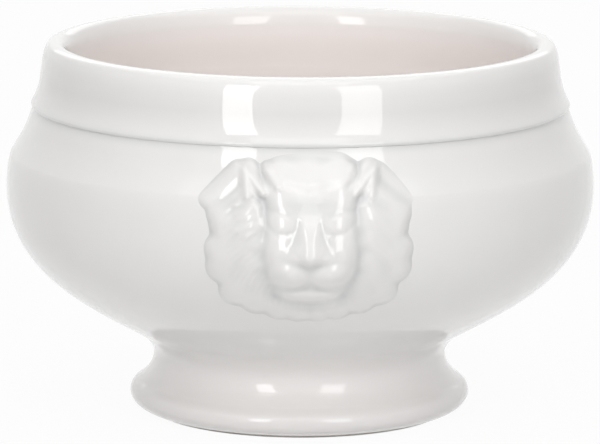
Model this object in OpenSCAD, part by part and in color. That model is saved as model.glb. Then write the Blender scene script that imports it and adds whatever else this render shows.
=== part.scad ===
/* [Overall] */
// Height of the bowl from the table to the top of the lip
overall_h = 84.8; // [80:0.1:92]
// Widest diameter of the belly
belly_d = 134; // [124:1:144]
// Height of the widest place of the belly
widest_h = 51.9; // [48:0.1:54]
// Thickness of the wall of belly and collar
wall_t = 4.6; // [3.5:0.1:5.4]

/* [Collar and lip] */
// Outer diameter of the collar at its waist, under the lip
lip_d = 117.8; // [112:0.1:121]
// Radius of the rolled outer side of the lip
lip_roll_r = 3.5; // [3:0.1:4.2]
// How far inwards the inner edge of the lip is rounded
lip_edge_r = 2.6; // [2:0.1:3]
// How far down the inner edge of the lip is rounded
lip_edge_h = 4.5; // [3:0.1:5.5]
// Height of the collar, from the crease to the top of the lip
collar_h = 14.6; // [13:0.1:16]
// How far the foot of the collar stands out past the lip
collar_flare = 2.4; // [1.6:0.1:3.2]
// Radius of the rounded bottom edge of the collar
bead_r = 0.8; // [0.5:0.1:1.2]

/* [Pedestal foot] */
// Height of the narrow neck above the table
neck_h = 13.2; // [12:0.1:15]
// Diameter of the neck
neck_d = 66.9; // [62:0.1:70]
// Widest diameter of the foot
foot_d = 77.7; // [75:0.1:84]
// Height of the widest place of the foot
foot_widest_h = 3.9; // [3.2:0.1:5]
// Thickness of the wall of the foot at the neck
foot_wall_t = 5.6; // [4.5:0.1:7]
// Height of the bare ring that stands on the table
ring_h = 0.6; // [0.4:0.1:1]
// Middle diameter of the bare ring
ring_d = 65.6; // [64:0.1:67]
// Width of the bare ring
ring_w = 3; // [2:0.1:3.4]
// Thickness of the floor of the basin, from the neck up to the inside
floor_t = 6.2; // [5:0.1:8]

/* [Lion mask] */
// Width of the mask
mask_w = 46.4; // [40:0.1:50]
// Height of the mask
mask_h = 37.2; // [33:0.1:38]
// Height of the relief over the belly at the tip of the nose
mask_relief = 8; // [6:0.1:10]
// Thickness of the mask at its outline
mask_edge_t = 0.7; // [0.5:0.1:1.2]
// Gap between the mask and the crease above it
mask_drop = 1.6; // [0.8:0.1:2.4]
// Rings of facets from the middle of the mask to its outline
mask_rings = 22; // [14:1:24]
// Facets round the mask
mask_spokes = 108; // [60:12:108]

/* [Fit] */
// Gap that slip fills between two pieces that are stuck together
slip_gap = 0.15; // [0.12:0.01:0.2]

/* [Hidden] */
$fn = 96;
glaze_white = [0.93, 0.93, 0.92];
bare_white = [0.86, 0.84, 0.80];
// Steps of each curved stretch of a profile
curve_steps = 12;

belly_r = belly_d / 2;
lip_r = lip_d / 2;
neck_r = neck_d / 2;
foot_r = foot_d / 2;
crease_h = overall_h - collar_h;
crease_r = lip_r + collar_flare - bead_r / 2;

// A cubic curve from p to q that leaves at angle a and arrives at angle b, with the pull of each end as a
// share of the straight distance
function curve(p, a, q, b, pull = [0.36, 0.36], n = curve_steps) =
    let (d = norm(q - p), c = p + d * pull[0] * [cos(a), sin(a)], e = q - d * pull[1] * [cos(b), sin(b)])
    [for (i = [0:n]) let (t = i / n, s = 1 - t)
        s * s * s * p + 3 * s * s * t * c + 3 * s * t * t * e + t * t * t * q];

// Points on an upright ellipse
function oval(centre, rx, rz, from, to, n = curve_steps) =
    [for (i = [0:n]) let (a = from + (to - from) * i / n) centre + [rx * cos(a), rz * sin(a)]];

// The points of a list but the first
function tail(points) = [for (i = [1:len(points) - 1]) points[i]];

// Belly, outside: hollow sweep over the neck, long round underside, widest place, shoulder and crease
under_turn_shares = [0.13, 0.143];
under_turn = [
    neck_r + (belly_r - neck_r) * under_turn_shares[0],
    neck_h + (widest_h - neck_h) * under_turn_shares[1]
];
under_slope = 30.5;
crease_round = bead_r / 2;
shoulder_end = [crease_r, crease_h - crease_round];
shoulder_turn_shares = [0.2, 0.44];
shoulder_turn = [
    belly_r + (crease_r - belly_r) * shoulder_turn_shares[0],
    widest_h + (shoulder_end[1] - widest_h) * shoulder_turn_shares[1]
];
shoulder_slope = 122;
shoulder_end_slope = 111;
belly_outside = concat(
    curve([neck_r, neck_h], 90, under_turn, under_slope, [0.26, 0.36]),
    tail(curve(under_turn, under_slope, [belly_r, widest_h], 90, [0.3, 0.43], 2 * curve_steps)),
    tail(curve([belly_r, widest_h], 90, shoulder_turn, shoulder_slope, [0.45, 0.16])),
    tail(curve(shoulder_turn, shoulder_slope, shoulder_end, shoulder_end_slope, [0.6, 0.45])),
    tail(curve(shoulder_end, 90, [crease_r - crease_round, crease_h], 180, [0.5, 0.5], 4))
);

// Belly, inside: one bowl-shaped sweep from the middle of the floor to the crease
crease_inner_r = lip_r + collar_flare - wall_t - bead_r;
inside_depth = widest_h - neck_h - floor_t;
inside_r = belly_r - wall_t;
belly_inside = concat(
    oval([0, widest_h], inside_r, inside_depth, -90, 0, 2 * curve_steps),
    tail(curve([inside_r, widest_h], 90, [crease_inner_r, crease_h], shoulder_end_slope, [0.5, 0.42]))
);

// Collar, from the crease round the outside and over the lip to the inside
lip_top_r = lip_r - lip_roll_r;
lip_inner_r = lip_top_r - lip_edge_r;
bead_out_r = lip_r + collar_flare;
waist_share = 0.644;
waist = [lip_r, crease_h + collar_h * waist_share];
waist_slope = 98;
lip_turn_shares = [0.24, 0.4];
lip_turn = [lip_r - lip_roll_r * lip_turn_shares[0], overall_h - lip_roll_r * lip_turn_shares[1]];
lip_turn_slope = 114;
collar_outside = concat(
    curve([crease_r - crease_round, crease_h], 0, [bead_out_r, crease_h + bead_r], 94, [0.5, 0.5], 6),
    tail(curve([bead_out_r, crease_h + bead_r], 120, waist, waist_slope, [0.4, 0.4])),
    tail(curve(waist, waist_slope, lip_turn, lip_turn_slope, [0.4, 0.4])),
    tail(curve(lip_turn, lip_turn_slope, [lip_top_r, overall_h], 180, [0.42, 0.5]))
);
lip_edge_end = [lip_inner_r, overall_h - lip_edge_h];
collar_inside = concat(
    oval([lip_top_r, lip_edge_end[1]], lip_edge_r, lip_edge_h, 90, 180),
    tail(curve(lip_edge_end, -90, [crease_inner_r, crease_h], -74, [0.42, 0.3]))
);

// Foot, outside, from the neck down over the swelling to the bare ring
ring_in_r = ring_d / 2 - ring_w / 2;
ring_out_r = ring_d / 2 + ring_w / 2;
foot_turn_shares = [0.54, 0.646];
foot_turn = [
    neck_r + (foot_r - neck_r) * foot_turn_shares[0],
    neck_h + (foot_widest_h - neck_h) * foot_turn_shares[1]
];
foot_slope = -45;
foot_outside = concat(
    curve([neck_r, neck_h], -90, foot_turn, foot_slope),
    tail(curve(foot_turn, foot_slope, [foot_r, foot_widest_h], -90)),
    tail(oval([ring_out_r, foot_widest_h], foot_r - ring_out_r, foot_widest_h - ring_h, 0, -90))
);
// Foot, inside, a hollow that opens downwards
foot_bore_r = neck_r - foot_wall_t;
foot_inside = curve([ring_in_r, ring_h], 100, [foot_bore_r, neck_h], 90, [0.3, 0.5]);

module revolve(outline) {
    rotate_extrude() polygon(outline);
}

module rim_collar() {
    color(glaze_white) revolve(concat(collar_outside, tail(collar_inside)));
}

module belly() {
    inside_down = [for (i = [len(belly_inside) - 1:-1:0]) belly_inside[i]];
    color(glaze_white) revolve(concat(belly_outside, inside_down, [[0, neck_h]]));
}

module pedestal_foot() {
    color(glaze_white) revolve(concat(foot_outside, [[ring_in_r, ring_h]], tail(foot_inside)));
}

module foot_ring() {
    ease = ring_h / 2;
    color(bare_white) revolve([
        [ring_in_r + ease, 0],
        [ring_out_r - ease, 0],
        [ring_out_r, ease],
        [ring_out_r, ring_h],
        [ring_in_r, ring_h],
        [ring_in_r, ease]
    ]);
}

// Lion mask. Places are counted from its middle, across in shares of half its width and up in shares of
// half its height. Lengths on it are shares of half its width, and heights are shares of the relief. Both
// halves are alike, so a place is always taken on the right half.
half_w = mask_w / 2;
half_h = mask_h / 2;
mask_mid_h = crease_h - mask_drop - half_h;
function place(share) = [share[0] * half_w, share[1] * half_h];

// The round side of the belly at a height, from the same points as the belly itself
belly_side = [for (p = belly_outside) [p[1], p[0]]];
function seat_y(x, z) = sqrt(pow(lookup(z, belly_side) + slip_gap, 2) - x * x);

// The higher of two heights, with a soft valley between them
function blend(a, b, soft) =
    let (k = max(soft - abs(a - b), 0) / soft) max(a, b) + k * k * soft / 4;
function blend_all(heights, soft, i = 0) =
    i == len(heights) - 1 ? heights[i] : blend(heights[i], blend_all(heights, soft, i + 1), soft);

// The height of a rolled form where d, its distance squared, runs from 0 on its spine to 1 at its foot
function rolled(height, d, full) = height * pow(max(1 - d, 0), full);

// Where a place lies beside the line from a to b: how far along it, from 0 to 1, and how far off it
function beside(p, a, b) =
    let (step = b - a, t = min(1, max(0, (p - a) * step / (step * step))))
    [t, norm(p - a - t * step)];

// Locks of hair, each a roll that tapers from its root to its tip. A row holds the root and the tip, the half
// width at each, and the height at each. The first nine sweep round from the ear to the chin, the next is the
// hair over the forehead, and the last three are a tuft beside it and the two rims of the ear.
lock_shares = [
    [[0.61, 0.82], [0.94, 0.49], [0.09, 0.078], [0.34, 0.2]],
    [[0.55, 0.63], [0.84, 0.34], [0.12, 0.105], [0.45, 0.26]],
    [[0.52, 0.44], [0.8, 0.21], [0.12, 0.11], [0.47, 0.26]],
    [[0.53, 0.26], [0.81, -0.07], [0.15, 0.16], [0.47, 0.26]],
    [[0.52, 0.03], [0.79, -0.29], [0.16, 0.17], [0.47, 0.26]],
    [[0.49, -0.22], [0.66, -0.58], [0.16, 0.165], [0.46, 0.26]],
    [[0.41, -0.43], [0.47, -0.7], [0.15, 0.155], [0.44, 0.25]],
    [[0.24, -0.54], [0.26, -0.785], [0.15, 0.15], [0.39, 0.24]],
    [[0.07, -0.59], [0.08, -0.83], [0.14, 0.145], [0.38, 0.23]],
    [[0, 0.73], [0.4, 0.75], [0.215, 0.18], [0.48, 0.48]],
    [[0.39, 0.86], [0.29, 0.7], [0.06, 0.07], [0.4, 0.6]],
    [[0.6, 0.9], [0.57, 0.58], [0.066, 0.07], [0.49, 0.49]],
    [[0.58, 0.89], [0.43, 0.61], [0.055, 0.06], [0.49, 0.55]]
];
lock_full = 0.4;
function lock(p, row) =
    let (
        where = beside(p, place(row[0]), place(row[1])),
        half = half_w * (row[2][0] + (row[2][1] - row[2][0]) * where[0]),
        height = row[3][0] + (row[3][1] - row[3][0]) * where[0]
    )
    rolled(height, pow(where[1] / half, 2), lock_full);

// How far out a ray from the middle leaves a disc, or crosses the straight line from a to b
function cross_z(a, b) = a[0] * b[1] - a[1] * b[0];
function leaves_disc(ray, centre, r) =
    let (b = centre * ray, d = b * b - centre * centre + r * r) d > 0 ? b + sqrt(d) : 0;
function crosses_line(ray, a, b) =
    let (step = b - a, c = cross_z(ray, step), k = c == 0 ? -1 : cross_z(a, ray) / c)
    k < 0 || k > 1 ? 0 : cross_z(a, step) / c;
function leaves_lock(ray, row) =
    let (
        a = place(row[0]), b = place(row[1]), ra = half_w * row[2][0], rb = half_w * row[2][1],
        along = (b - a) / norm(b - a), side = [-along[1], along[0]]
    )
    max(
        leaves_disc(ray, a, ra),
        leaves_disc(ray, b, rb),
        crosses_line(ray, a + side * ra, b + side * rb),
        crosses_line(ray, a - side * ra, b - side * rb)
    );

// The outline of the mask runs round the tips of its locks, so its distance from the middle at an angle is
// that of the lock which reaches out furthest
function outline_r(angle) =
    let (ray = [abs(cos(angle)), sin(angle)]) max([for (row = lock_shares) leaves_lock(ray, row)]);

// The face is a flat-topped form, given by its height and its half width, and on it a ridge that runs from
// the tip of the nose and widens into the brows
face_height_shares = [
    [-0.86, 0], [-0.78, 0.22], [-0.7, 0.39], [-0.61, 0.51], [-0.505, 0.525], [-0.4, 0.66], [-0.27, 0.725],
    [-0.11, 0.745], [0, 0.695], [0.11, 0.63], [0.21, 0.59], [0.32, 0.54], [0.4, 0.525], [0.48, 0.525],
    [0.565, 0.55], [0.645, 0.6], [0.75, 0.66], [0.83, 0.65], [0.89, 0.49], [0.94, 0.2], [0.98, 0]
];
face_width_shares = [
    [-0.72, 0.27], [-0.62, 0.32], [-0.505, 0.37], [-0.375, 0.43], [-0.215, 0.46], [0, 0.465], [0.54, 0.45],
    [0.75, 0.48], [1, 0.5]
];
ridge_height_shares = [
    [-0.24, 0.72], [-0.18, 0.9], [-0.085, 1], [0, 0.93], [0.11, 0.81], [0.27, 0.675], [0.37, 0.6],
    [0.48, 0.575], [0.65, 0.57], [0.8, 0]
];
ridge_top_shares = [
    [-0.16, 0.056], [-0.05, 0.04], [0.05, 0.035], [0.16, 0.047], [0.27, 0.082], [0.35, 0.147], [0.43, 0.24],
    [0.54, 0.345]
];
ridge_foot_shares = [
    [-0.21, 0.275], [-0.11, 0.25], [-0.03, 0.2], [0.05, 0.17], [0.16, 0.134], [0.27, 0.142], [0.35, 0.224],
    [0.43, 0.328], [0.54, 0.43]
];
ridge_end_shares = [-0.25, -0.12];
ridge_hollowness = 1.4;
face_squareness = 6;
function face(share) =
    let (
        u = share[0], v = share[1],
        base = lookup(v, face_height_shares),
        top = lookup(v, ridge_top_shares),
        off = min(1, max(0, (u - top) / (lookup(v, ridge_foot_shares) - top))),
        end = min(1, max(0, (v - ridge_end_shares[0]) / (ridge_end_shares[1] - ridge_end_shares[0]))),
        ridge = max(0, lookup(v, ridge_height_shares) - base) * pow(1 - off, ridge_hollowness) * end,
        inside = max(0, 1 - pow(u / lookup(v, face_width_shares), face_squareness))
    )
    (base + ridge) * sqrt(inside);

// Pads on the face: eye, whisker pad, chin, tip of the nose and nostril. A row holds the middle, the half
// width, the half height as a share of half the mask's height, the height and how full the pad is.
pad_shares = [
    [[0.263, 0.28], 0.12, 0.118, 0.64, 0.35],
    [[0.22, -0.317], 0.237, 0.231, 0.85, 0.5],
    [[0, -0.61], 0.297, 0.113, 0.6, 0.5],
    [[0, -0.113], 0.116, 0.124, 1, 0.5],
    [[0.112, -0.118], 0.073, 0.08, 0.9, 0.5]
];
function pad(share, row) =
    let (d = pow((share[0] - row[0][0]) / row[1], 2) + pow((share[1] - row[0][1]) / row[2], 2))
    rolled(row[3], d, row[4]);

// Lines cut into the clay: down the side of the face, along the mouth, and the fold in front of the ear.
// A row holds the depth, the half width and the places that the line runs through.
cut_shares = [
    [0.06, 0.056, [
        [0.465, 0.565], [0.483, 0.27], [0.483, -0.054], [0.46, -0.3], [0.4, -0.473], [0.328, -0.61]
    ]],
    [0.07, 0.035, [[0.414, -0.435], [0.233, -0.532], [0.103, -0.505], [0, -0.452]]],
    [0.09, 0.035, [[0.578, 0.946], [0.362, 0.694]]]
];
function cut(p, row) =
    let (gap = min([for (i = [1:len(row[2]) - 1]) beside(p, place(row[2][i - 1]), place(row[2][i]))[1]]))
    row[0] * exp(-pow(gap / (row[1] * half_w), 2));

// How softly locks, pads and the face run into each other
lock_soft_share = 0.14;
pad_soft_share = 0.09;
face_soft_share = 0.06;
function relief(share) =
    let (
        p = place(share),
        hair = blend_all([for (row = lock_shares) lock(p, row)], lock_soft_share),
        head = blend_all(concat([for (row = pad_shares) pad(share, row)], [face(share)]), pad_soft_share),
        cuts = [for (row = cut_shares) cut(p, row)]
    )
    blend(hair, head, face_soft_share) - cuts * [for (c = cuts) 1];

// One point on the front of the mask, or on its back where front is false, at a share of the way from its
// middle to its outline
function mask_point(angle, share, front) =
    let (
        out = share * outline_r(angle),
        x = out * cos(angle), up = out * sin(angle),
        lift = front ? max(mask_edge_t, mask_relief * relief([abs(x) / half_w, up / half_h])) : 0
    )
    [x, -seat_y(x, mask_mid_h + up) - lift, mask_mid_h + up];

// The mask as one closed skin: rings of points over the front and the back, joined at the outline and closed
// in the middle. The back is smooth, so it takes fewer rings than the front.
back_rings_share = 0.46;
module lion_mask() {
    back_rings = floor(mask_rings * back_rings_share);
    angles = [for (j = [0:mask_spokes - 1]) -180 + 360 * (j + 0.5) / mask_spokes];
    front = [for (i = [1:mask_rings]) for (a = angles) mask_point(a, i / mask_rings, true)];
    back = [for (i = [1:back_rings]) for (a = angles) mask_point(a, i / back_rings, false)];
    n = mask_spokes;
    nf = mask_rings * n;
    nb = back_rings * n;
    points = concat(front, back, [mask_point(0, 0, true), mask_point(0, 0, false)]);
    mid_front = nf + nb;
    mid_back = mid_front + 1;
    function next(j) = (j + 1) % n;
    // Two triangles between two rings of points, with the side that shows given by the order of a and b
    function strip(a, b) = [for (j = [0:n - 1]) each [
        [a + j, b + next(j), b + j],
        [a + j, a + next(j), b + next(j)]
    ]];
    faces = concat(
        [for (j = [0:n - 1]) [mid_front, next(j), j]],
        [for (i = [0:mask_rings - 2]) each strip(i * n, (i + 1) * n)],
        strip(nf - n, nf + nb - n),
        [for (j = [0:n - 1]) [mid_back, nf + j, nf + next(j)]],
        [for (i = [0:back_rings - 2]) each strip(nf + (i + 1) * n, nf + i * n)]
    );
    color(glaze_white) polyhedron(points, faces);
}

module lion_mask_front() {
    lion_mask();
}

module lion_mask_rear() {
    rotate([0, 0, 180]) lion_mask();
}

rim_collar();
belly();
pedestal_foot();
foot_ring();
lion_mask_front();
lion_mask_rear();
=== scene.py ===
# %% [markdown]
# A white lion-head soup bowl, dressed for its portrait.
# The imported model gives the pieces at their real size. This lesson lays smooth glazed surfaces over them,
# carves the lion masks as height fields, mixes the porcelain glaze, and sets up the studio.

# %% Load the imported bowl
import math

import bmesh
import bpy
import numpy as np
from mathutils import Matrix, Vector


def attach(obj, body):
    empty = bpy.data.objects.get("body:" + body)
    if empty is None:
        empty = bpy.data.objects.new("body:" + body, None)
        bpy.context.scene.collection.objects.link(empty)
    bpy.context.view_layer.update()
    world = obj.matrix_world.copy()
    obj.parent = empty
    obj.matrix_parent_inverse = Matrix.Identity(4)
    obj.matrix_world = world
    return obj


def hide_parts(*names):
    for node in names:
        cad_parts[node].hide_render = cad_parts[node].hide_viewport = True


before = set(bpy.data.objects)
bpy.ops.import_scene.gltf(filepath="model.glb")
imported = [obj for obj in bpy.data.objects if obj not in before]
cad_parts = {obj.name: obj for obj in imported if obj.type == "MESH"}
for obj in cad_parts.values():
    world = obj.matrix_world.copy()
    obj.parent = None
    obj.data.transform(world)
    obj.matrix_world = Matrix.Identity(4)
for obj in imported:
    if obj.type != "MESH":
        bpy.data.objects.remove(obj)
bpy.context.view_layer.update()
mm = 0.001
print("nodes:", sorted(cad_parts))

# %% [markdown]
# The bowl is a turned shape, so its whole form is one outline of radius against height.
# The sizes below are the real bowl's, in millimetres, and each outline is a few curves between them.
# A Bezier curve drawn in the viewport would do too, but a formula keeps each stretch tied to the sizes. A
# cubic that knows its two end points and its two headings is enough for every stretch. Glaze fills the crease
# under the collar almost level, so the outlines meet there in a shallow groove.

# %% Sizes of the bowl
overall_h = 84.8
belly_r = 67.0
widest_h = 51.9
wall_t = 4.6
lip_r = 58.9
lip_roll_r = 3.5
lip_edge_r = 2.6
lip_edge_h = 4.5
collar_h = 14.6
collar_flare = 2.4
bead_r = 0.8
neck_h = 13.2
neck_r = 33.45
foot_r = 38.85
foot_widest_h = 3.9
foot_wall_t = 5.6
ring_h = 0.6
ring_r = 32.8
ring_w = 3.0
floor_t = 6.2
crease_h = overall_h - collar_h
crease_r = lip_r + collar_flare - bead_r / 2
crease_fill = 0.1


# %% Curves that join two headings
def heading(angle):
    return np.array([math.cos(math.radians(angle)), math.sin(math.radians(angle))])


def curve(start, leave, end, arrive, pull=(0.36, 0.36), steps=40):
    """Points of a cubic from start to end. Headings are in degrees, and each end's pull is a share of the
    straight distance."""
    start, end = np.array(start, float), np.array(end, float)
    span = np.linalg.norm(end - start)
    near, far = start + span * pull[0] * heading(leave), end - span * pull[1] * heading(arrive)
    t = np.linspace(0, 1, steps + 1)[:, None]
    s = 1 - t
    return s**3 * start + 3 * s * s * t * near + 3 * s * t * t * far + t**3 * end


def arc(centre, rx, rz, first, last, steps=40):
    """Points of an ellipse's arc, from the first angle to the last, in degrees."""
    angles = np.radians(np.linspace(first, last, steps + 1))
    return np.column_stack([centre[0] + rx * np.cos(angles), centre[1] + rz * np.sin(angles)])


def chain(*stretches):
    """Stretches that meet end to end, as one list of points."""
    return np.vstack([stretches[0]] + [stretch[1:] for stretch in stretches[1:]])


# %% Outline of the belly
up, left, down, right = 90, 180, -90, 0
small_steps, lip_steps, long_steps = 8, 24, 90
under_heading, shoulder_heading, crease_heading = 30.5, 122, 111.6
under_turn = (neck_r + (belly_r - neck_r) * 0.13, neck_h + (widest_h - neck_h) * 0.143)
shoulder_end = (crease_r, crease_h - crease_fill)
shoulder_turn = (belly_r + (crease_r - belly_r) * 0.2, widest_h + (shoulder_end[1] - widest_h) * 0.44)
belly_outside = chain(
    curve((neck_r, neck_h), up, under_turn, under_heading, (0.26, 0.36)),
    curve(under_turn, under_heading, (belly_r, widest_h), up, (0.3, 0.43), long_steps),
    curve((belly_r, widest_h), up, shoulder_turn, shoulder_heading, (0.45, 0.16)),
    curve(shoulder_turn, shoulder_heading, shoulder_end, crease_heading, (0.6, 0.45)),
    curve(shoulder_end, up, (crease_r - crease_fill, crease_h), left, (0.5, 0.5), small_steps),
)
crease_inner_r = lip_r + collar_flare - wall_t - bead_r
inside_r = belly_r - wall_t
basin_depth = widest_h - neck_h - floor_t
basin_heading, basin_steps = 111, 80
belly_inside = chain(
    arc((0, widest_h), inside_r, basin_depth, down, right, basin_steps),
    curve((inside_r, widest_h), up, (crease_inner_r, crease_h), basin_heading, (0.5, 0.42)),
)
belly_outline = np.vstack([[(0, neck_h)], belly_outside, belly_inside[::-1]])
print("belly outline:", len(belly_outline), "points")

# %% Outline of the collar and its lip
lip_top_r = lip_r - lip_roll_r
lip_inner_r = lip_top_r - lip_edge_r
bead_out_r = lip_r + collar_flare
waist = (lip_r, crease_h + collar_h * 0.644)
lip_turn = (lip_r - lip_roll_r * 0.24, overall_h - lip_roll_r * 0.4)
bead_steps = 14
bead_heading, bead_leave, waist_heading, lip_heading, inside_heading = 94, 120, 98, 114, -74
bead_end = (bead_out_r, crease_h + bead_r)
lip_edge = (lip_inner_r, overall_h - lip_edge_h)
collar_outline = chain(
    curve((crease_r - crease_fill, crease_h), right, bead_end, bead_heading, (0.5, 0.5), bead_steps),
    curve(bead_end, bead_leave, waist, waist_heading, (0.4, 0.4)),
    curve(waist, waist_heading, lip_turn, lip_heading, (0.4, 0.4)),
    curve(lip_turn, lip_heading, (lip_top_r, overall_h), left, (0.42, 0.5), lip_steps),
    arc((lip_top_r, overall_h - lip_edge_h), lip_edge_r, lip_edge_h, up, left, lip_steps),
    curve(lip_edge, down, (crease_inner_r, crease_h), inside_heading, (0.42, 0.3)),
)
print("collar outline:", len(collar_outline), "points")

# %% Outlines of the foot and its bare ring
ring_in_r, ring_out_r = ring_r - ring_w / 2, ring_r + ring_w / 2
foot_turn = (neck_r + (foot_r - neck_r) * 0.54, neck_h + (foot_widest_h - neck_h) * 0.646)
flare_heading, hollow_heading = -45, 100
foot_outline = chain(
    curve((neck_r, neck_h), down, foot_turn, flare_heading, (0.46, 0.3)),
    curve(foot_turn, flare_heading, (foot_r, foot_widest_h), down, (0.26, 0.5)),
    arc((ring_out_r, foot_widest_h), foot_r - ring_out_r, foot_widest_h - ring_h, right, down, lip_steps),
    np.array([(ring_out_r, ring_h), (ring_in_r, ring_h)]),
    curve((ring_in_r, ring_h), hollow_heading, (neck_r - foot_wall_t, neck_h), up, (0.3, 0.5)),
)
ease = ring_h / 2
ring_outline = np.vstack([
    arc((ring_in_r + ease, ease), ease, ease, 180, 270, small_steps),
    arc((ring_out_r - ease, ease), ease, ease, 270, 360, small_steps),
    [(ring_out_r, ring_h), (ring_in_r, ring_h)],
])
print("foot outline:", len(foot_outline), "points, ring outline:", len(ring_outline), "points")

# %% [markdown]
# A potter would throw or jigger these shapes on a wheel. In Blender the wheel is a Geometry Nodes tree: the
# outline comes in as a line of vertices, a curve circle is the turn of the wheel, and Curve to Mesh sweeps
# the one along the other. A Screw modifier or bmesh.ops.spin would do too, but the tree keeps the number of
# facets as a named input and merges the poles itself.


# %% The potter's wheel, as a node tree
facets = 288
wheel_r = 1.0
merge_gap = 0.002


def socket_id(tree, name):
    """A modifier's input goes by its socket's identifier."""
    return next(item.identifier for item in tree.interface.items_tree if item.name == name)


def link_up(tree, pairs):
    for output, target in pairs:
        tree.links.new(output, target)


def wheel_tree():
    tree = bpy.data.node_groups.new("potters_wheel", "GeometryNodeTree")
    face = tree.interface
    face.new_socket("Outline", in_out="INPUT", socket_type="NodeSocketGeometry")
    face.new_socket("Facets", in_out="INPUT", socket_type="NodeSocketInt").default_value = facets
    face.new_socket("Wheel Radius", in_out="INPUT", socket_type="NodeSocketFloat").default_value = wheel_r
    face.new_socket("Glaze", in_out="INPUT", socket_type="NodeSocketMaterial")
    face.new_socket("Turned", in_out="OUTPUT", socket_type="NodeSocketGeometry")
    node = tree.nodes.new
    group_in, group_out = node("NodeGroupInput"), node("NodeGroupOutput")
    to_curve = node("GeometryNodeMeshToCurve")
    circle = node("GeometryNodeCurvePrimitiveCircle")
    sweep = node("GeometryNodeCurveToMesh")
    merge = node("GeometryNodeMergeByDistance")
    merge.inputs["Distance"].default_value = merge_gap * mm
    smooth, coat = node("GeometryNodeSetShadeSmooth"), node("GeometryNodeSetMaterial")
    real = node("GeometryNodeRealizeInstances")
    link_up(tree, [
        (group_in.outputs["Outline"], to_curve.inputs["Mesh"]),
        (group_in.outputs["Facets"], circle.inputs["Resolution"]),
        (group_in.outputs["Wheel Radius"], circle.inputs["Radius"]),
        (circle.outputs["Curve"], sweep.inputs["Curve"]),
        (to_curve.outputs["Curve"], sweep.inputs["Profile Curve"]),
        (sweep.outputs["Mesh"], merge.inputs["Geometry"]),
        (merge.outputs["Geometry"], smooth.inputs["Geometry"]),
        (smooth.outputs["Geometry"], real.inputs["Geometry"]),
        (real.outputs["Geometry"], coat.inputs["Geometry"]),
        (group_in.outputs["Glaze"], coat.inputs["Material"]),
        (coat.outputs["Geometry"], group_out.inputs["Turned"]),
    ])
    return tree


wheel = wheel_tree()
print("wheel tree:", len(wheel.nodes), "nodes")


# %% From an outline to a piece
def outline_mesh(name, outline, closed):
    """The outline as a line of vertices, set out from the rim of the wheel's circle."""
    mesh = bpy.data.meshes.new(name)
    places = [((r * mm - wheel_r), -z * mm, 0.0) for r, z in outline]
    count = len(places)
    edges = [(i, i + 1) for i in range(count - 1)] + ([(count - 1, 0)] if closed else [])
    mesh.from_pydata(places, edges, [])
    return mesh


def face_outwards(mesh):
    """Turn every face outwards; the volume tells whether the whole shell is inside out. Counts open edges."""
    shell = bmesh.new()
    shell.from_mesh(mesh)
    bmesh.ops.recalc_face_normals(shell, faces=shell.faces)
    if shell.calc_volume(signed=True) < 0:
        bmesh.ops.reverse_faces(shell, faces=shell.faces)
    open_edges = sum(1 for edge in shell.edges if not edge.is_manifold)
    shell.to_mesh(mesh)
    shell.free()
    return open_edges


# %% [markdown]
# The glaze's tone changes from place to place, and these changes are painted light and shade. Weights painted
# by hand would do, but each place follows from the bowl's own sizes, so every vertex gets its shares by
# formula, as attributes that the shader reads. The basin's painted light fades in below the lip, the foot's
# painted light and the collar's painted shade fade out at their ends, and painted shade lies along the crease,
# where glaze also pools.

# %% Marks for the painted light and shade in the glaze
fade = 6.0
crease_shade_reach, crease_shade_share = 1.1, 0.5
foot_fade_top, foot_fade = neck_h + 9.0, 10.0
collar_skip, lip_skip = 0.2, 0.3
collar_inside_r = crease_inner_r + 0.5
wall_reach = 1.0


def share(value):
    """A value held between 0 and 1."""
    return min(max(value, 0.0), 1.0)


def mark_painted_tones(mesh):
    """Mark how far each point belongs to the basin, the crease where glaze pools, the foot and the collar: the
    places where the glaze's tone gets painted light and shade.
    """
    insides, crease_shades, feet, collars = [], [], [], []
    for vertex in mesh.vertices:
        x, y, z = vertex.co / mm
        radius = math.hypot(x, y)
        wall = np.interp(z, belly_inside[:, 1], belly_inside[:, 0]) if z < crease_h else collar_inside_r
        basin = z > neck_h + floor_t / 2 and radius < wall + wall_reach
        # Painted light in the basin and on the foot, painted shade in the crease and on the collar.
        insides.append(share((overall_h - z) / fade) if basin else 0.0)
        crease_shades.append(0.0 if basin else crease_shade_share * math.exp(-(((z - crease_h) / crease_shade_reach) ** 2)))
        feet.append(share((foot_fade_top - z) / foot_fade))
        rising, falling = (z - crease_h) / fade - collar_skip, (overall_h - z) / fade - lip_skip
        collars.append(0.0 if basin else share(min(rising, falling)))
    marks = {"inside_painted_light": insides, "hollow_painted_shade": crease_shades, "foot_painted_light": feet, "collar_painted_shade": collars}
    for name, shares in marks.items():
        mesh.attributes.new(name, "FLOAT", "POINT").data.foreach_set("value", shares)


# %% Turning and finishing a piece
def turn(name, outline, node, material, closed=True):
    """Turn an outline on the wheel into a plain mesh piece that stands for a node."""
    blank = bpy.data.objects.new(name + "_blank", outline_mesh(name + "_outline", outline, closed))
    bpy.context.collection.objects.link(blank)
    modifier = blank.modifiers.new("wheel", "NODES")
    modifier.node_group = wheel
    modifier[socket_id(wheel, "Facets")] = facets
    modifier[socket_id(wheel, "Wheel Radius")] = wheel_r
    modifier[socket_id(wheel, "Glaze")] = material
    bpy.context.view_layer.update()
    evaluated = blank.evaluated_get(bpy.context.evaluated_depsgraph_get())
    mesh = bpy.data.meshes.new_from_object(evaluated)
    blank.modifiers.remove(modifier)
    bpy.data.objects.remove(blank)
    mark_painted_tones(mesh)
    return finish_piece(name, mesh, node)


sharp_angle = 40


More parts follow.
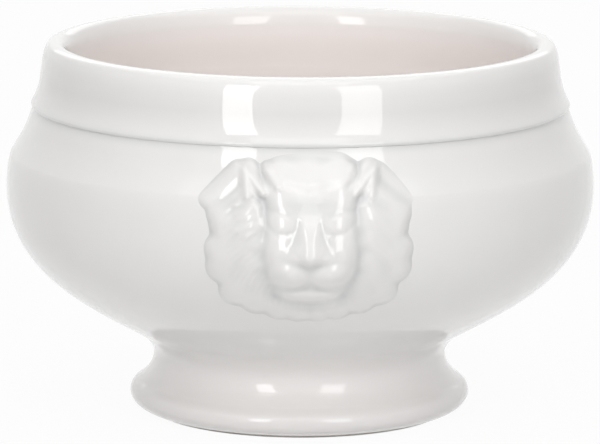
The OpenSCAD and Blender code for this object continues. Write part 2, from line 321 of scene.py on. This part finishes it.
def finish_piece(name, mesh, node):
    """Turn faces outwards, mark sharp edges, hide the node that the piece stands for, and hang the piece on
    the root body.
    """
    open_edges = face_outwards(mesh)
    mesh.set_sharp_from_angle(angle=math.radians(sharp_angle))
    piece = bpy.data.objects.new(name, mesh)
    bpy.context.collection.objects.link(piece)
    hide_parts(node)
    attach(piece, "root")
    low = [min(v.co[i] for v in mesh.vertices) / mm for i in range(3)]
    high = [max(v.co[i] for v in mesh.vertices) / mm for i in range(3)]
    size = ", ".join(f"{a:.1f} to {b:.1f}" for a, b in zip(low, high))
    print(f"{name}: {len(mesh.polygons)} faces, {open_edges} open edges, mm {size}")
    return piece


# %% [markdown]
# Porcelain glaze is a skin of clear glass over a white body. The glass gives a sharp reflection that grows
# towards the edges, and the body under it is matt. A Glossy BSDF mixed over a Diffuse one would do, but the
# Principled shader's clear coat over its base holds both in one node. Fine noise keeps it from looking like
# plastic: the glass is a little uneven. In grooves and creases its tone is greyer; that is painted shade, in
# the places where the glass also lies thick.
# Under the lamps of this scene the foot came out darker than in the photograph and the collar lighter, so
# the foot has a lighter tone and the collar a darker one, and the inside has a lighter and warmer one. The
# meshes carry as attributes where each tone lies.


# %% Helpers for shaders
def shader(name):
    """A new material with an empty tree that has only a Principled surface and its output."""
    material = bpy.data.materials.new(name)
    material.use_nodes = True
    tree = material.node_tree
    tree.nodes.clear()
    output = tree.nodes.new("ShaderNodeOutputMaterial")
    surface = tree.nodes.new("ShaderNodeBsdfPrincipled")
    tree.links.new(surface.outputs["BSDF"], output.inputs["Surface"])
    return material, tree, surface


def noise_on_object(tree, scale, detail=2.0, roughness=0.5):
    """Noise on Object coordinates, so that it stays put on the piece."""
    place = tree.nodes.new("ShaderNodeTexCoord")
    noise = tree.nodes.new("ShaderNodeTexNoise")
    noise.inputs["Scale"].default_value = scale
    noise.inputs["Detail"].default_value = detail
    noise.inputs["Roughness"].default_value = roughness
    tree.links.new(place.outputs["Object"], noise.inputs["Vector"])
    return noise


def span(tree, value, low, high, first, last):
    """A value that runs from low to high, mapped to run from first to last."""
    node = tree.nodes.new("ShaderNodeMapRange")
    for name, number in (("From Min", low), ("From Max", high), ("To Min", first), ("To Max", last)):
        node.inputs[name].default_value = number
    tree.links.new(value, node.inputs["Value"])
    return node.outputs["Result"]


def blend_colours(tree, factor, first, second):
    """A blend of two colours, each a tuple or another node's output."""
    node = tree.nodes.new("ShaderNodeMix")
    node.data_type = "RGBA"
    tree.links.new(factor, node.inputs["Factor"])
    for socket, colour in ((node.inputs["A"], first), (node.inputs["B"], second)):
        if isinstance(colour, tuple):
            socket.default_value = (*colour, 1.0)
        else:
            tree.links.new(colour, socket)
    return node.outputs["Result"]


# %% The white glaze
patch_tones = (0.835, 0.825, 0.81), (0.86, 0.852, 0.84)
painted_tones = {
    # painted light: the foot's tone is lighter, for light that the lamps here don't bring to it
    "foot_painted_light": (0.94, 0.912, 0.9),
    # painted shade: the collar's tone is darker than the belly's
    "collar_painted_shade": (0.79, 0.773, 0.762),
    # painted shade: greyer in the crease and the mask's hollows, where glaze also pools
    "hollow_painted_shade": (0.66, 0.665, 0.66),
    # painted light: the inside is lighter and warmer, for light bouncing around in the bowl
    "inside_painted_light": (0.96, 0.915, 0.895),
}
patch_scale, skin_scale, ripple_scale = 22.0, 160.0, 90.0


def white_glaze():
    material, tree, surface = shader("white_glaze")
    patches = noise_on_object(tree, patch_scale, 3.0)
    tone = blend_colours(tree, span(tree, patches.outputs["Fac"], 0.35, 0.65, 0.0, 1.0), *patch_tones)
    # Painted light and shade: each marked tone is blended in where its attribute says.
    for mark, colour in painted_tones.items():
        marked = tree.nodes.new("ShaderNodeAttribute")
        marked.attribute_name = mark
        tone = blend_colours(tree, marked.outputs["Fac"], tone, colour)
    tree.links.new(tone, surface.inputs["Base Color"])
    skin = noise_on_object(tree, skin_scale)
    tree.links.new(span(tree, skin.outputs["Fac"], 0.3, 0.7, 0.34, 0.42), surface.inputs["Roughness"])
    ripple = noise_on_object(tree, ripple_scale, 1.0)
    bump = tree.nodes.new("ShaderNodeBump")
    bump.inputs["Strength"].default_value = 0.12
    bump.inputs["Distance"].default_value = 0.4 * mm
    tree.links.new(ripple.outputs["Fac"], bump.inputs["Height"])
    tree.links.new(bump.outputs["Normal"], surface.inputs["Coat Normal"])
    surface.inputs["IOR"].default_value = 1.5
    surface.inputs["Specular IOR Level"].default_value = 0.2
    surface.inputs["Coat Weight"].default_value = 1.0
    surface.inputs["Coat Roughness"].default_value = 0.035
    surface.inputs["Coat IOR"].default_value = 1.47
    return material


# %% [markdown]
# The ring that the bowl stands on is wiped free of glaze and ground flat, so the clay itself shows: warmer,
# matt and a little gritty. It could be one more mark in the glaze's tree, but a shader of its own is easier
# to read.

# %% The bare porcelain
grain_tones = (0.66, 0.62, 0.56), (0.76, 0.73, 0.68)
grain_scale = 900.0


def bare_porcelain():
    material, tree, surface = shader("bare_porcelain")
    grain = noise_on_object(tree, grain_scale, 4.0, 0.6)
    tone = blend_colours(tree, span(tree, grain.outputs["Fac"], 0.3, 0.7, 0.0, 1.0), *grain_tones)
    tree.links.new(tone, surface.inputs["Base Color"])
    surface.inputs["Roughness"].default_value = 0.75
    bump = tree.nodes.new("ShaderNodeBump")
    bump.inputs["Strength"].default_value = 0.4
    bump.inputs["Distance"].default_value = 0.1 * mm
    tree.links.new(grain.outputs["Fac"], bump.inputs["Height"])
    tree.links.new(bump.outputs["Normal"], surface.inputs["Normal"])
    return material


glaze = white_glaze()
biscuit = bare_porcelain()
print("glaze:", len(glaze.node_tree.nodes), "nodes, bare porcelain:", len(biscuit.node_tree.nodes), "nodes")

# %% [markdown]
# Now the wheel turns. The belly's outline starts and ends on the axis, so it stays open there and its two
# ends become the poles. The other outlines are closed loops that never touch the axis.

# %% Turn the four round pieces
turn("glazed_belly", belly_outline, "belly", glaze, closed=False)
turn("glazed_collar", collar_outline, "rim_collar", glaze)
turn("glazed_foot", foot_outline, "pedestal_foot", glaze)
turn("ground_foot_ring", ring_outline, "foot_ring", biscuit)

# %% [markdown]
# The lion mask is pressed in its own small mould and stuck to the belly with slip. It is a relief: at each
# place across and up there is one height over the belly, so a height field holds all of it. Modelling it by
# hand in sculpt mode can't be written down; here it is built the way a mould maker builds it, from pads of
# clay that melt into each other, and then from lines cut or laid on top. X and Z are places across and up, in
# millimetres, and A is X without its sign, so one table of sizes makes both halves of the face.

# %% Sizes of the mask
mask_half_w = 22.6
mask_half_h = 18.8
mask_mid_h = 50.0
side_margin, low_margin, top_margin = 3, 2.5, 1.2
grid_step = 0.25

belly_side = belly_outside[np.argsort(belly_outside[:, 1])]


def seat(x, z):
    """How far the belly's surface lies in front of the axis, at a place across and up."""
    radius = np.interp(z, belly_side[:, 1], belly_side[:, 0])
    return np.sqrt(radius**2 - x**2)


x_line = np.arange(-mask_half_w - side_margin, mask_half_w + side_margin + grid_step / 2, grid_step)
z_line = np.arange(mask_mid_h - mask_half_h - low_margin, mask_mid_h + mask_half_h + top_margin, grid_step)
X, Z = np.meshgrid(x_line, z_line)
A = np.abs(X)
print("mask grid:", X.shape)

# %% [markdown]
# Clay forms are rolls and pads: a height along a spine or over a middle that falls off to a foot. Past its
# foot each form goes below zero, so where two forms meet, the higher one wins and the lower one is buried.
# Metaballs would melt together as softly, but numbers on a grid can be compared, blurred and cut.


# %% Forms of clay
fall, fall_reach = 2.0, 2


def beyond(d):
    """How far a form has dropped below zero past its foot, where d is 1."""
    return fall * np.clip(d - 1, 0, fall_reach)


def melt(first, second, soft):
    """The higher of two heights, with a soft valley where they meet."""
    near = np.maximum(soft - np.abs(first - second), 0) / soft
    return np.maximum(first, second) + near * near * soft / 4


def melt_all(forms, soft):
    """Any number of heights, melted one after the other."""
    total = forms[0]
    for form in forms[1:]:
        total = melt(total, form, soft)
    return total


def roll(height, d, full):
    """The height of a rolled form. d is its distance squared, from 0 on its spine to 1 at its foot."""
    return height * np.maximum(1 - d, 0) ** full - beyond(d)


def pad(across, up, half_across, half_up, height, lean=0.0, full=0.5):
    """A round pad that leans outwards; a smaller value of full gives a flatter top and steeper sides."""
    c, s = math.cos(math.radians(lean)), math.sin(math.radians(lean))
    a, b = A - across, Z - up
    d = ((a * c - b * s) / half_across) ** 2 + ((b * c + a * s) / half_up) ** 2
    return roll(height, d, full)


def along(start, end):
    """How far along a line each place lies, from 0 to 1, its distance from the line, and its side."""
    start, end = np.array(start), np.array(end)
    step = end - start
    t = np.clip(((A - start[0]) * step[0] + (Z - start[1]) * step[1]) / (step @ step), 0, 1)
    side = ((A - start[0]) * step[1] - (Z - start[1]) * step[0]) / np.linalg.norm(step)
    gap = np.hypot(A - start[0] - t * step[0], Z - start[1] - t * step[1])
    return t, gap, side


def lock(start, end, half_widths, heights, full=0.5):
    """A lock of hair: a tapered roll from start to end."""
    t, gap, _ = along(start, end)
    half = half_widths[0] + (half_widths[1] - half_widths[0]) * t
    top = heights[0] + (heights[1] - heights[0]) * t
    return roll(top, (gap / half) ** 2, full)


strand_pitch, strand_ending = 1.3, 1.1


def strands(start, end, half_widths, heights):
    """Fine strands combed along a lock: 1 in each groove, 0 between them and past the lock. They fade at both
    ends. Heights are taken only so that a lock's row fits."""
    t, gap, side = along(start, end)
    half = half_widths[0] + (half_widths[1] - half_widths[0]) * t
    inside = np.clip(2 - 2 * (gap / half) ** 2, 0, 1) * np.sin(math.pi * np.clip(t * strand_ending, 0, 1))
    return (0.5 - 0.5 * np.cos(2 * math.pi * side / strand_pitch)) * inside


def line(points, width):
    """A soft line through some points: 1 on it, fading to 0 at its sides."""
    gap = np.min([along(p, q)[1] for p, q in zip(points[:-1], points[1:])], axis=0)
    return np.exp(-((gap / width) ** 2))


# %% Blurs
table_low, table_high, table_step = 20.0, 80.0, 0.1


def bell(reach, step):
    """Weights of a soft blur, reach being its width in millimetres."""
    half = int(math.ceil(3 * reach / step))
    weights = np.exp(-((np.arange(-half, half + 1) * step / reach) ** 2) / 2)
    return half, weights / weights.sum()


def eased(table, reach=1.2):
    """A table of heights up the face against values, read at every place with its corners eased."""
    fine = np.arange(table_low, table_high, table_step)
    table = sorted(table)
    values = np.interp(fine, [row[0] for row in table], [row[1] for row in table])
    half, weights = bell(reach, table_step)
    return np.interp(Z, fine, np.convolve(np.pad(values, half, mode="edge"), weights, mode="valid"))


def soften(field, reach):
    """Let the glaze flow: a blur of the height field, reach in millimetres."""
    half, weights = bell(reach, grid_step)
    padded = np.pad(field, half, mode="edge")
    rows = np.apply_along_axis(lambda row: np.convolve(row, weights, mode="valid"), 1, padded)
    return np.apply_along_axis(lambda column: np.convolve(column, weights, mode="valid"), 0, rows)


# %% [markdown]
# The mane is bunches of locks that sweep down as they run outwards from the face, and a beard under the chin.
# Each row below is one lock: where it starts and ends, its half widths there, and its heights there. In the
# photograph the strands are crisp on the left and almost smooth on the right, so their depth changes over the
# middle of the face. A hair curve for each strand would be finer, but the glaze has filled the real ones.

# %% The mane, the ears and the hair between them
middle = [-4.0, 4.0]
rim_lock = ((15.0, 65.2), (22.0, 59.2), (2.4, 2.0), (3.1, 1.8))
mane_bunches = [
    [((12.8, 61.8), (19.6, 56.3), (2.9, 2.6), (3.5, 2.3)),
     ((12.0, 58.2), (18.8, 53.7), (2.9, 2.7), (4.1, 2.6))],
    [((12.2, 54.8), (18.8, 48.7), (3.6, 3.8), (4.2, 2.6)),
     ((12.0, 50.6), (18.3, 44.7), (3.8, 4.0), (4.2, 2.6))],
    [((11.4, 46.0), (15.4, 39.3), (3.8, 4.0), (4.2, 2.6)),
     ((9.4, 42.0), (11.1, 37.1), (3.6, 3.8), (4.0, 2.5))],
    [((5.6, 40.0), (6.2, 35.5), (3.6, 3.6), (3.6, 2.4)),
     ((1.6, 39.0), (1.9, 34.8), (3.4, 3.5), (3.5, 2.3))],
]
mane_blur = 0.45


def mane():
    """The locks and the beard, with their strands. The lock at the upper rim lies lower on the right."""
    forms = [melt_all([lock(*row, full=0.4) for row in bunch], 1.8) for bunch in mane_bunches]
    combed = np.max([strands(*row) for bunch in mane_bunches for row in bunch], axis=0)
    crisp = np.interp(X, middle, [0.52, 0.10])
    edge = lock(*rim_lock) - np.interp(X, middle, [0.0, 1.2])
    return soften(melt_all([edge] + forms, 2.0), mane_blur) - crisp * combed


def forelock():
    """The hair over the forehead: a broad low cap, and a tuft towards each ear."""
    cap = pad(0, 62.0, 12.2, 6.6, 3.4, full=0.6)
    tuft = lock((9.0, 66.0), (6.8, 63.0), (1.3, 1.6), (3.6, 5.3))
    return melt(cap, tuft, 1.6)


def ear():
    """An ear: its shell, and the two rims that meet at its tip."""
    shell = pad(12.3, 63.4, 2.8, 4.7, 3.9, lean=16)
    outer_rim = lock((14.0, 66.0), (13.4, 60.8), (1.3, 1.4), (4.1, 4.3))
    inner_rim = lock((13.5, 65.9), (10.0, 61.4), (1.1, 1.3), (4.1, 4.9))
    return melt(shell, melt(outer_rim, inner_rim, 0.7), 0.7)


# %% [markdown]
# The face is one loft: tables give its height, half width and squareness at each level, the way sections are
# drawn across a model. On it stands a ridge that widens from the nose into the brows, and the forehead is
# dished a little between them. A subdivision cage would do as well; tables are quicker to set against a
# picture.

# %% The face
face_heights = [
    (71.0, -2.6), (70.0, -1.0), (69.2, 0.2), (68.3, 1.7), (67.3, 3.2), (66.3, 4.5), (65.3, 5.4),
    (64.3, 5.85), (63.0, 5.8), (62.0, 5.6), (61.0, 5.33), (60.0, 5.1), (59.0, 4.95), (58.0, 4.87),
    (57.0, 4.85), (56.0, 4.95), (54.0, 5.25), (52.0, 5.5), (50.0, 6.05), (48.0, 6.45), (45.0, 6.3),
    (42.5, 5.8), (40.6, 4.7), (38.6, 4.6), (37.0, 3.6), (35.5, 2.3), (34.0, 0.0), (32.0, -3.0),
]
face_half_widths = [
    (69.5, 6.0), (68.5, 8.0), (67.5, 9.4), (66.5, 10.3), (65.5, 10.9), (64.0, 11.3), (60.0, 11.2),
    (56.0, 11.0), (50.0, 11.3), (46.0, 11.2), (43.0, 10.4), (40.6, 8.8), (38.5, 7.5), (36.5, 6.2),
]
nose_heights = [
    (61.0, 0.0), (58.5, 4.6), (57.0, 4.9), (55.6, 5.5), (54.0, 6.15), (52.0, 7.0), (50.0, 7.9), (48.4, 8.5),
    (46.6, 7.7), (45.6, 6.5),
]
nose_half_widths = [
    (58.0, 2.4), (56.0, 1.8), (55.0, 1.6), (53.0, 1.1), (51.0, 0.8), (49.0, 0.9), (47.0, 1.3),
]
nose_feet = [
    (58.0, 3.4), (56.0, 2.5), (55.0, 2.5), (53.0, 3.2), (51.0, 4.1), (49.5, 4.9), (48.0, 5.8), (46.0, 6.4),
]
squareness_table = [53.0, 57.0, 61.0, 66.0], [4.8, 4.3, 3.8, 3.0]
nose_foot_h, nose_foot_rise, ridge_power = 45.4, 2.4, 1.4
dish_depth, dish_foot_h, dish_rise, dish_reach = 2.1, 56.8, 7.5, 4.9


def face():
    """A flat-topped loft up the face, its ridge of nose and brows, and the dished forehead."""
    width, base = eased(face_half_widths), eased(face_heights, 0.8)
    top, foot = eased(nose_half_widths, 0.5), eased(nose_feet, 0.5)
    u = np.clip((A - top) / (foot - top), 0, 1)
    ridge = (1 - u) ** ridge_power * np.clip((Z - nose_foot_h) / nose_foot_rise, 0, 1)
    body = base + np.maximum(eased(nose_heights, 0.6) - base, 0) * ridge
    rising, across = np.clip((Z - dish_foot_h) / dish_rise, 0, 1), np.exp(-((A / dish_reach) ** 2))
    body = body - dish_depth * rising * across * np.clip(body - 1, 0, 1)
    rounded = body * np.sqrt(np.maximum(1 - (A / width) ** np.interp(Z, *squareness_table), 0))
    return np.where(body > 0, rounded, body) - beyond(A / width)


eye_h, head_turn = 0.24, 0.06


def head():
    """The face with its eyes and its pads: whiskers, chin, tip of the nose and nostrils. The photograph's
    reflections differ left and right as if the head were turned a little, so it slopes across."""
    eye = np.maximum(pad(6.2, 55.7, 3.1, 2.5, 1.0, lean=-16, full=1.0), 0)
    total = face() + eye_h * eye
    for form, soft in (
        (pad(4.2, 44.2, 5.7, 4.4, 7.5, lean=-6), 1.5),
        (pad(0, 38.9, 6.9, 2.3, 5.3), 1.5),
        (pad(0, 47.9, 2.7, 2.3, 8.5), 0.7),
        (pad(2.6, 47.8, 1.7, 1.5, 7.7), 0.9),
    ):
        total = melt(total, form, soft)
    return total + head_turn * X


# %% [markdown]
# A modeller sharpens a pressed relief with a tool. Each row here is one stroke: its depth, which is below
# zero where it cuts and above where clay is laid on, its width, and the points it runs through. Then
# everything is blurred a little, as glaze rounds it. A bump map could draw such lines, but they belong in the
# geometry, where an export keeps them.

# %% Lines cut into the clay and laid on it
tool_lines = [
    (-0.45, 2.0, [(11.2, 60.5), (11.6, 55.0), (11.6, 49.0), (11.0, 44.4), (9.5, 41.2), (7.6, 38.7)]),
    (-0.15, 0.9, [(9.6, 41.9), (5.4, 40.1), (2.4, 40.6), (0.0, 41.6)]),
    (0.25, 0.9, [(0.0, 45.2), (0.0, 41.0)]),
    (-0.5, 0.6, [(0.0, 36.7), (4.4, 37.0), (7.2, 38.4)]),
    (-0.25, 0.5, [(2.9, 48.8), (2.2, 46.6), (0.0, 45.5)]),
    (-0.15, 0.7, [(0.0, 61.8), (3.6, 63.0), (6.6, 63.8)]),
    (-0.25, 0.45, [(9.9, 58.0), (6.6, 57.8), (4.2, 56.7)]),
    (-0.25, 0.5, [(9.6, 55.2), (7.4, 53.0), (4.4, 53.2)]),
    (-0.7, 0.5, [(13.4, 67.6), (8.4, 62.9)]),
]
laid_strands = [
    [(12.6, 60.8), (16.0, 58.7)], [(12.0, 59.2), (15.6, 56.8)], [(12.3, 54.6), (15.8, 53.2)],
    [(12.2, 53.2), (14.4, 52.0)],
]
strand_height, strand_width = 0.3, 0.5
print("strokes:", len(tool_lines), "cut or laid,", len(laid_strands), "strands laid")

# %% The whole relief
edge_trim, skirt, skirt_blend = 0.5, -0.2, 0.6
raw = melt(melt(mane(), head(), 1.4), melt(ear(), forelock(), 0.8), 0.7)
drawn = sum(depth * line(points, width) for depth, width, points in tool_lines)
crisp_side = np.interp(X, middle, [1.2, 0.2])
drawn = drawn + crisp_side * sum(strand_height * line(points, strand_width) for points in laid_strands)
line_floor = 0.6
raw = np.where(raw > line_floor, raw + drawn * np.clip(raw - line_floor, 0, 1), raw)
raw = melt(raw - edge_trim, np.full_like(raw, skirt), skirt_blend)

# %% [markdown]
# The belly curves up to a sharp crease behind the top of the mask. Pressed clay bridges such a corner, so
# where the relief is thick its ground is a smoothed belly. A place that lies lower than its surroundings is a
# hollow; there the glaze pools, and its tone gets painted shade.

# %% The ground under the relief, the flow of the glaze, and the hollows
bridge_reach, bridge_full_at, flow, hollow_reach, hollow_full_at = 2.2, 2.5, 0.36, 1.7, 0.8
fine_z = np.arange(table_low, 72.0, grid_step)
half, weights = bell(bridge_reach, grid_step)
fine_r = np.interp(fine_z, belly_side[:, 1], belly_side[:, 0])
smooth_r = np.convolve(np.pad(fine_r, half, mode="edge"), weights, mode="valid")
bridge = np.interp(Z, fine_z, smooth_r - fine_r) * np.clip(raw / bridge_full_at, 0, 1)
relief = soften(raw + bridge, flow)
# The hollows get painted shade in the glaze's tone.
hollow = np.clip((soften(raw, hollow_reach) - relief) / hollow_full_at, 0, 1)
print(f"relief from {relief.min():.2f} to {relief.max():.2f} mm")

# %% [markdown]
# The relief becomes a mesh: one vertex for each place of the grid that the mask covers, moved out from the
# belly by the relief's height. Real clay has a back too, so a second sheet lies just under the belly's
# surface and a wall joins the two at the edge. A Displace modifier on a grid would give the front but not the
# closed skin. The rear mask is the same mesh turned half way round the axis.


# %% Lay the mask on the belly
back_depth, skirt_margin, spread, spread_share = 0.6, 0.01, 0.4, 0.02


def mask_mesh(name, turned):
    """A closed skin: the relief in front, and a back that lies just inside the belly's surface."""
    used = soften((relief > skirt + skirt_margin).astype(float), spread) > spread_share
    cells = used[:-1, :-1] & used[1:, :-1] & used[:-1, 1:] & used[1:, 1:]
    corner = np.zeros_like(used)
    for di in (0, 1):
        for dj in (0, 1):
            corner[di:corner.shape[0] - 1 + di, dj:corner.shape[1] - 1 + dj] |= cells
    index = np.full(used.shape, -1)
    index[corner] = np.arange(corner.sum())
    xs, zs = X[corner], Z[corner]
    front = np.column_stack([xs, -(seat(xs, zs) + relief[corner]), zs]) * mm
    back = np.column_stack([xs, -(seat(xs, zs) - back_depth), zs]) * mm
    count = len(front)
    quads = []
    rows, columns = np.nonzero(cells)
    for i, j in zip(rows, columns):
        a, b, c, d = index[i, j], index[i, j + 1], index[i + 1, j + 1], index[i + 1, j]
        quads.append((a, b, c, d))
        quads.append((a + count, d + count, c + count, b + count))
    edges = {}
    for a, b, c, d in quads[::2]:
        for pair in ((a, b), (b, c), (c, d), (d, a)):
            edges[pair] = True
    for a, b in list(edges):
        if (b, a) not in edges:
            quads.append((b, a, a + count, b + count))
    places = np.vstack([front, back])
    if turned:
        places[:, :2] *= -1
    mesh = bpy.data.meshes.new(name)
    mesh.from_pydata(places.tolist(), [], quads)
    mesh.polygons.foreach_set("use_smooth", [True] * len(mesh.polygons))
    # Painted shade in the mask's hollows.
    depth = mesh.attributes.new("hollow_painted_shade", "FLOAT", "POINT")
    depth.data.foreach_set("value", np.concatenate([hollow[corner], np.zeros(count)]).astype(np.float32))
    mesh.materials.append(glaze)
    return mesh


for name, node, turned in (
    ("lion_mask_facing", "lion_mask_front", False),
    ("lion_mask_behind", "lion_mask_rear", True),
):
    finish_piece(name, mask_mesh(name, turned), node)

# %% [markdown]
# The studio is a white table, two tall soft boxes in front of the bowl, left and right of the camera, a weak
# one higher up between them, a broad soft light overhead and a weak one behind. The glaze mirrors the tall
# boxes as bright windows, and they tell the eye how the surface turns. An environment picture would do, but
# lamps can be moved one by one. The table would grey the background, so for the camera it glows white by
# itself, a little less than fully, which keeps a trace of the shadow under the foot.

# %% Table and surroundings
camera_azimuth = -1.73
white = (1.0, 1.0, 1.0, 1.0)
table_grey, table_reach, table_glow = 0.80, 3.0, 0.95
room_light = 0.21


def glow_for_camera(tree, share):
    """The share of plain white that the camera sees, directly, mirrored or through glass."""
    rays = tree.nodes.new("ShaderNodeLightPath")
    first, second, third = [tree.nodes.new("ShaderNodeMath") for _ in range(3)]
    first.operation, second.operation, third.operation = "MAXIMUM", "MAXIMUM", "MULTIPLY"
    link_up(tree, [
        (rays.outputs["Is Camera Ray"], first.inputs[0]),
        (rays.outputs["Is Glossy Ray"], first.inputs[1]),
        (first.outputs[0], second.inputs[0]),
        (rays.outputs["Is Transmission Ray"], second.inputs[1]),
        (second.outputs[0], third.inputs[0]),
    ])
    third.inputs[1].default_value = share
    return third.outputs[0]


def table_material():
    """A pale table that the camera and the glaze see almost as plain white."""
    material = bpy.data.materials.new("white_table")
    material.use_nodes = True
    tree = material.node_tree
    tree.nodes.clear()
    output = tree.nodes.new("ShaderNodeOutputMaterial")
    diffuse, glow = tree.nodes.new("ShaderNodeBsdfDiffuse"), tree.nodes.new("ShaderNodeEmission")
    diffuse.inputs["Color"].default_value = (table_grey, table_grey, table_grey, 1.0)
    glow.inputs["Strength"].default_value = 1.0
    mix = tree.nodes.new("ShaderNodeMixShader")
    tree.links.new(glow_for_camera(tree, table_glow), mix.inputs[0])
    tree.links.new(diffuse.outputs[0], mix.inputs[1])
    tree.links.new(glow.outputs[0], mix.inputs[2])
    tree.links.new(mix.outputs[0], output.inputs["Surface"])
    return material


table_mesh = bpy.data.meshes.new("table")
corners = [(x * table_reach, y * table_reach, 0) for x, y in ((-1, -1), (1, -1), (1, 1), (-1, 1))]
table_mesh.from_pydata(corners, [], [(0, 1, 2, 3)])
table = bpy.data.objects.new("table", table_mesh)
table_mesh.materials.append(table_material())
bpy.context.collection.objects.link(table)

# %% The room's own light
world = bpy.data.worlds.new("studio")
bpy.context.scene.world = world
world.use_nodes = True
tree = world.node_tree
tree.nodes.clear()
out = tree.nodes.new("ShaderNodeOutputWorld")
room, backdrop = tree.nodes.new("ShaderNodeBackground"), tree.nodes.new("ShaderNodeBackground")
room.inputs["Color"].default_value = white
room.inputs["Strength"].default_value = room_light
backdrop.inputs["Color"].default_value = white
backdrop.inputs["Strength"].default_value = 1.0
mix = tree.nodes.new("ShaderNodeMixShader")
tree.links.new(glow_for_camera(tree, 1.0), mix.inputs[0])
tree.links.new(room.outputs[0], mix.inputs[1])
tree.links.new(backdrop.outputs[0], mix.inputs[2])
tree.links.new(mix.outputs[0], out.inputs["Surface"])


# %% Lamps
middle_of_bowl = Vector((0, 0, 0.045))


def soft_box(name, azimuth, elevation, distance, width, height, power):
    """An area lamp that faces the bowl; its azimuth counts from the camera's side, to the right."""
    data = bpy.data.lights.new(name, "AREA")
    data.shape = "RECTANGLE"
    data.size, data.size_y = width, height
    data.energy = power
    lamp = bpy.data.objects.new(name, data)
    turn_by = math.radians(azimuth + camera_azimuth)
    rise = math.radians(elevation)
    lamp.location = middle_of_bowl + distance * Vector(
        (math.sin(turn_by) * math.cos(rise), -math.cos(turn_by) * math.cos(rise), math.sin(rise))
    )
    lamp.rotation_euler = (middle_of_bowl - lamp.location).to_track_quat("-Z", "Y").to_euler()
    bpy.context.collection.objects.link(lamp)
    print(f"{name}: {power} W, {width} by {height} m")


soft_box("soft_box_left", azimuth=-26.7, elevation=20.0, distance=1.6, width=0.36, height=0.90, power=5.5)
soft_box("soft_box_right", azimuth=26.4, elevation=20.0, distance=1.6, width=0.50, height=0.90, power=5.4)
soft_box("soft_box_front", azimuth=0.0, elevation=51.0, distance=1.6, width=1.00, height=0.60, power=2.6)
soft_box("soft_box_above", azimuth=0.0, elevation=86.0, distance=1.8, width=3.0, height=2.4, power=21.0)
soft_box("soft_box_behind", azimuth=180.0, elevation=35.0, distance=1.5, width=1.4, height=1.0, power=3.2)

# %% [markdown]
# The camera stands where the bowl's outline says the photograph was taken from: far off with a long lens,
# looking down by about ten degrees, and a touch to the left of the mask, which is why the mask sits a little
# right of the middle. A Track To constraint would aim it, but its roll is easier to give as a rotation.

# %% Camera
camera_distance = 1.1328
camera_height = 0.2517
camera_pitch = 10.45
camera_roll = 0.224
focal_mm, sensor_mm = 302.1, 36.0
data = bpy.data.cameras.new("camera")
data.lens = focal_mm
data.sensor_width = sensor_mm
data.clip_start = 0.05
camera = bpy.data.objects.new("camera", data)
side = math.radians(camera_azimuth)
camera.location = (camera_distance * math.sin(side), -camera_distance * math.cos(side), camera_height)
looking = (
    Matrix.Rotation(side, 4, "Z")
    @ Matrix.Rotation(math.radians(90 - camera_pitch), 4, "X")
    @ Matrix.Rotation(math.radians(camera_roll), 4, "Z")
)
camera.rotation_euler = looking.to_euler()
bpy.context.collection.objects.link(camera)
bpy.context.scene.camera = camera
bpy.context.scene.view_settings.view_transform = "Standard"
print("camera at", [round(value, 4) for value in camera.location])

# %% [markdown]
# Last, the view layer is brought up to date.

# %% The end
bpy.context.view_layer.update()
